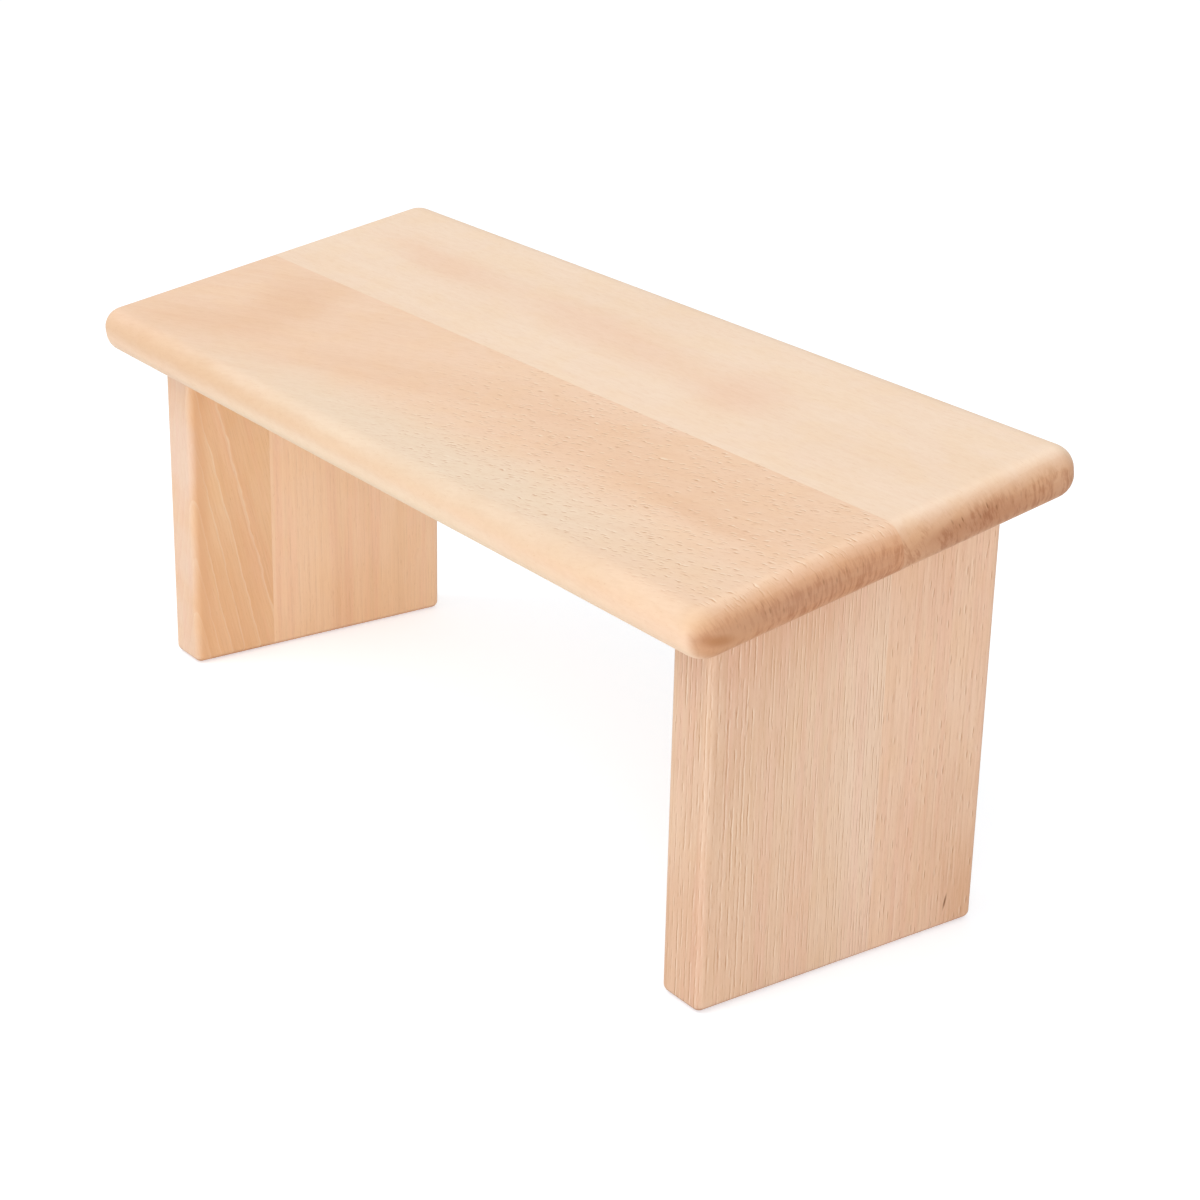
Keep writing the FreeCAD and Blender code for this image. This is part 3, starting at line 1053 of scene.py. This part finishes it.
# %% The look of the legs, and what their four logs share
leg_look = {
    **look,
    "early": paint(229, 198, 172),
    "late": paint(216, 179, 150),
    "ring_share": 0.15,
    "pale_share": 0.05,
    "streak": (0.985, 0.975, 0.965, 1.0),
    "blush": (0.998, 0.955, 0.968, 1.0),
    "fibre": (0.94, 0.91, 0.88, 1.0),
    "fibre_size": (1.1, 1.1, 0.05),
    "fibre_steps": (0.38, 0.68),
    "pore": (0.92, 0.88, 0.83, 1.0),
    "ray": paint(186, 138, 104),
    "ray_share": 0.6,
    "ray_highlight_share": 0.25,
    "small_share": 0.15,
    "line_share": 0.85,
    "corner_highlight_share": 0.05,
    "spoke_fade": (400.0, 300.0),
}

LEG_LOG = {
    "grain": (0.0, 0.0, 1.0),
    "jagged": 0.2,
    "wavy": 0.3,
    "swerve": 0.3,
    "pitch": 1.6,
    "ray_cell": (1.9, 9.0, 7.5),
    "ray_half": (0.2, 5.0, 2.8),
    "rays_kept": 0.75,
}


def on_the_leg(x, y, z, half_y, half_z, tint, share, turn=0.0):
    """A patch on the side of a leg. It goes right through the leg."""
    return Patch((x, y, z), (30.0, half_y, half_z), (turn, 0.0, 0.0), tint, share)


# %% The wood of the right leg
right_front = beech(
    "beech_right_leg_front",
    {
        **LEG_LOG,
        "seed": 57.0,
        "pith": (0.110, 0.012, 0.0),
        "turn": (0.3, 0.5, 0.0),
        "depth": 82.0,
        "ring": 3.1,
        "wander": 1.8,
    },
    leg_look,
    patches=(
        on_the_leg(182.0, 8.0, 80.0, 24.0, 190.0, paint(236, 209, 187), 0.55),
        on_the_leg(182.0, -45.0, 20.0, 40.0, 60.0, paint(218, 178, 150), 0.3),
        # Painted shade: darker at the top of the leg, under the seat and its front edge.
        on_the_leg(182.0, -30.0, 138.0, 66.0, 40.0, paint(210, 166, 138), 0.5),
        on_the_leg(182.0, -50.0, 104.0, 42.0, 62.0, paint(212, 171, 144), 0.35),
        on_the_leg(172.0, -61.0, 20.0, 12.0, 60.0, paint(216, 170, 137), 0.4),
    ),
)

right_back = beech(
    "beech_right_leg_back",
    {
        **LEG_LOG,
        "seed": 71.0,
        "pith": (0.095, -0.010, 0.0),
        "turn": (-0.4, 0.8, 0.0),
        "depth": 100.0,
        "ring": 2.6,
        "wander": 1.6,
        "pitch": 2.3,
        "ray_cell": (2.1, 9.0, 6.6),
        "ray_half": (0.3, 5.0, 2.4),
    },
    {
        **leg_look,
        "early": paint(233, 199, 173),
        "late": paint(223, 182, 153),
        "line_share": 0.3,
        "ray": paint(178, 126, 92),
        "ray_share": 0.62,
    },
    patches=(
        # Painted shade: darker at the top of the leg, under the seat.
        on_the_leg(182.0, 24.0, 134.0, 40.0, 34.0, paint(212, 170, 142), 0.2),
        on_the_leg(182.0, 44.0, 34.0, 30.0, 56.0, paint(218, 174, 142), 0.35),
        on_the_leg(182.0, 60.0, 10.0, 24.0, 36.0, paint(208, 156, 118), 0.45),
    ),
    marks=(on_the_leg(182.0, 48.0, 10.0, 0.7, 4.2, paint(126, 84, 50), 0.95, turn=-12.0),),
)

# %% The wood of the left leg
left_front = beech(
    "beech_left_leg_front",
    {
        **LEG_LOG,
        "seed": 88.0,
        "pith": (-0.212, -0.015, 0.06),
        "turn": (13.0, 0.0, 0.0),
        "depth": 55.0,
        "ring": 3.5,
        "wander": 2.6,
        "jagged": 0.65,
        "rays_kept": 0.05,
    },
    {
        **leg_look,
        "early": paint(244, 206, 167),
        "late": paint(233, 184, 140),
        "ring_share": 0.5,
        "line": 0.13,
        "pale_share": 0.3,
        "fibre": (0.97, 0.95, 0.93, 1.0),
        "small_share": 0.05,
        "line_share": 0.1,
    },
    patches=(
        on_the_leg(-162.0, -40.0, 18.0, 34.0, 60.0, paint(226, 168, 122), 0.3),
        on_the_leg(-172.0, -61.0, 70.0, 7.0, 300.0, paint(241, 213, 192), 0.85),
    ),
    marks=(
        on_the_leg(-172.0, -61.0, 70.0, 5.6, 300.0, paint(240, 211, 190), 0.5),
        Patch((-161.0, -54.5, 70.0), (5.0, 6.0, 300.0), NO_TURN, paint(229, 178, 135), 0.6),
    ),
)

left_back = beech(
    "beech_left_leg_back",
    {
        **LEG_LOG,
        "seed": 93.0,
        "pith": (-0.235, 0.060, 0.0),
        "turn": (0.5, 0.0, 0.0),
        "depth": 75.0,
        "ring": 3.6,
        "wander": 1.2,
        "rays_kept": 0.08,
    },
    {
        **leg_look,
        "early": paint(251, 215, 182),
        "late": paint(241, 198, 163),
        "fibre": (0.97, 0.955, 0.935, 1.0),
        "streak": (0.955, 0.93, 0.905, 1.0),
        "streak_size": (0.09, 0.09, 0.006),
        "small_share": 0.05,
        "line_share": 0.16,
    },
    patches=(on_the_leg(-162.0, 25.0, 0.0, 70.0, 50.0, paint(238, 194, 152), 0.5),),
)

# %% [markdown]
# ### Two staves to a board
#
# The seat's inner plate stops 8 mm short of its edges, and its corners are rounded by 1 mm, so its path
# is two straight ends, two corners and the long front or back. In a leg the plate is 3 mm short on all
# sides, its corners are sharp, and the top run follows the slope of the seat. There the glue line cuts
# the sloping end upright, so the outward direction is stretched until nothing of it points sideways.

# %% Make the staves of the seat
SEAT_ROUND = 8.0
SEAT_CORNER = 1.0
SEAT_GLUE = 1.5
INNER_END = SEAT_HALF_LENGTH - SEAT_ROUND
CORNER_X = INNER_END - SEAT_CORNER
CORNER_V = SEAT_HALF_WIDTH - SEAT_ROUND - SEAT_CORNER

seat_axes = (
    (1.0, 0.0, 0.0),
    (0.0, math.cos(SEAT_SLOPE), math.sin(SEAT_SLOPE)),
    (0.0, -math.sin(SEAT_SLOPE), math.cos(SEAT_SLOPE)),
)
seat_middle = np.array(on_seat(0.0, 0.0, SEAT_HALF_THICK)) / MILLIMETRE


def seat_stave(name, sign, turns, material):
    """One stave of the seat. The sign is -1 in front of the glue line and 1 behind it."""
    corners = ((sign * CORNER_X, sign * CORNER_V), (-sign * CORNER_X, sign * CORNER_V))
    start, end = ((side * INNER_END, SEAT_GLUE) for side in (sign, -sign))
    path = path_round(start, corners, end, turns, SEAT_CORNER)
    grid = board_points(*path, SEAT_ROUND, SEAT_HALF_THICK - SEAT_ROUND)
    return stave(name, grid, seat_middle, seat_axes, "seat", material)


seat_stave("seat_front_stave", -1, (180, 270, 360), seat_front)
seat_stave("seat_back_stave", 1, (0, 90, 180), seat_back)

# %% Make the staves of the legs
leg_axes = ((0.0, 1.0, 0.0), (0.0, 0.0, 1.0), (1.0, 0.0, 0.0))
LEG_ROUND = 3.0
LEG_HALF_WIDTH = 60.0
LEG_HALF_THICK = 10.0
LEG_MIDDLE_X = 172.0
FOOT = LEG_ROUND
LEG_FRONT = SEAT_MIDDLE_Y - LEG_HALF_WIDTH + LEG_ROUND
LEG_BACK = SEAT_MIDDLE_Y + LEG_HALF_WIDTH - LEG_ROUND
SLOPE_ANGLE = 90.0 + math.degrees(SEAT_SLOPE)


def under_the_seat(y):
    """A corner of the leg's inner plate: as far under the seat's underside as the edge is rounded."""
    underside = UNDERSIDE_Z + (y - SEAT_MIDDLE_Y) * math.tan(SEAT_SLOPE)
    return (y, underside - LEG_ROUND / math.cos(SEAT_SLOPE))


def leg_stave(name, x, path, body, material):
    """One stave of a leg whose middle plane stands at x."""
    points, outward = path
    outward[[0, -1]] = np.stack([np.zeros(2), 1.0 / outward[[0, -1], 1]], axis=1)
    grid = board_points(points, outward, LEG_ROUND, LEG_HALF_THICK - LEG_ROUND)
    return stave(name, grid, (x, 0.0, 0.0), leg_axes, body, material)


legs = (
    ("left", -LEG_MIDDLE_X, -21.87, (left_front, left_back)),
    ("right", LEG_MIDDLE_X, 13.83, (right_front, right_back)),
)
for side, x, glue, woods in legs:
    front_corners = ((LEG_FRONT, FOOT), under_the_seat(LEG_FRONT))
    front = path_round((glue, FOOT), front_corners, under_the_seat(glue), (270, 180, SLOPE_ANGLE), 0.0)
    leg_stave(side + "_leg_front_stave", x, front, side + "_leg", woods[0])
    back_corners = (under_the_seat(LEG_BACK), (LEG_BACK, FOOT))
    back = path_round(under_the_seat(glue), back_corners, (glue, FOOT), (SLOPE_ANGLE, 0, -90), 0.0)
    leg_stave(side + "_leg_back_stave", x, back, side + "_leg", woods[1])

# %% [markdown]
# ## Brass
#
# The hinges and screws are plain brass, rolled and lightly polished. Metal gets its colour from what it
# reflects, so its base colour stays even and the life is in the roughness: fine lines from rolling, and a
# slow bloom of tarnish that dulls it here and there.

# %% Two kinds of brass
BLOOM_WAVES = (0.11, 0.11, 0.11)
BLOOM_STEPS = (0.40, 0.72)
ROLLED_TINT = (0.80, 0.74, 0.62, 1.0)
ROLLED_SHARE = 0.25
ROLLED_DEPTH = 0.00001
ROLLED_STRENGTH = 0.15
BRASS_DULLED_BY = {"bloom": 0.10, "rolled": 0.12}


def brass(name, bright, dull, lines, rough):
    """Brass with fine lines. Lines is the number of them in a millimetre along each axis."""
    material, tree = empty_material(name)
    place = in_millimetres(tree)
    bloom = clouds(tree, place, BLOOM_WAVES, BLOOM_STEPS, 4.0)
    rolled = noise(tree, place, lines, 9.0, detail=3.0, roughness=0.65)
    colour = blend(tree, bloom, bright, dull)
    colour = glaze(tree, times(tree, rolled, ROLLED_SHARE), colour, ROLLED_TINT)
    rough = weighted(tree, rough, {"bloom": bloom, "rolled": rolled}, BRASS_DULLED_BY)
    bump = add(tree, "Bump", {"Height": rolled, "Strength": ROLLED_STRENGTH, "Distance": ROLLED_DEPTH})
    coat(tree, colour, rough, bump, {"Metallic": 1.0})
    return material


hinge_brass = brass("rolled_brass", paint(228, 200, 134), paint(212, 180, 116), (7.0, 0.25, 7.0), 0.24)
screw_brass = brass("turned_brass", paint(238, 214, 156), paint(220, 190, 130), (4.0, 4.0, 4.0), 0.17)
print("brass:", hinge_brass.name, screw_brass.name)

# %% Give every piece its finish
hinge_nodes = {name: piece for name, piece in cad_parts.items() if "hinge" in name}
for name, piece in hinge_nodes.items():
    for place in piece.material_slots:
        place.material = screw_brass if name.endswith("screws") else hinge_brass
print("brass on", len(hinge_nodes), "pieces")
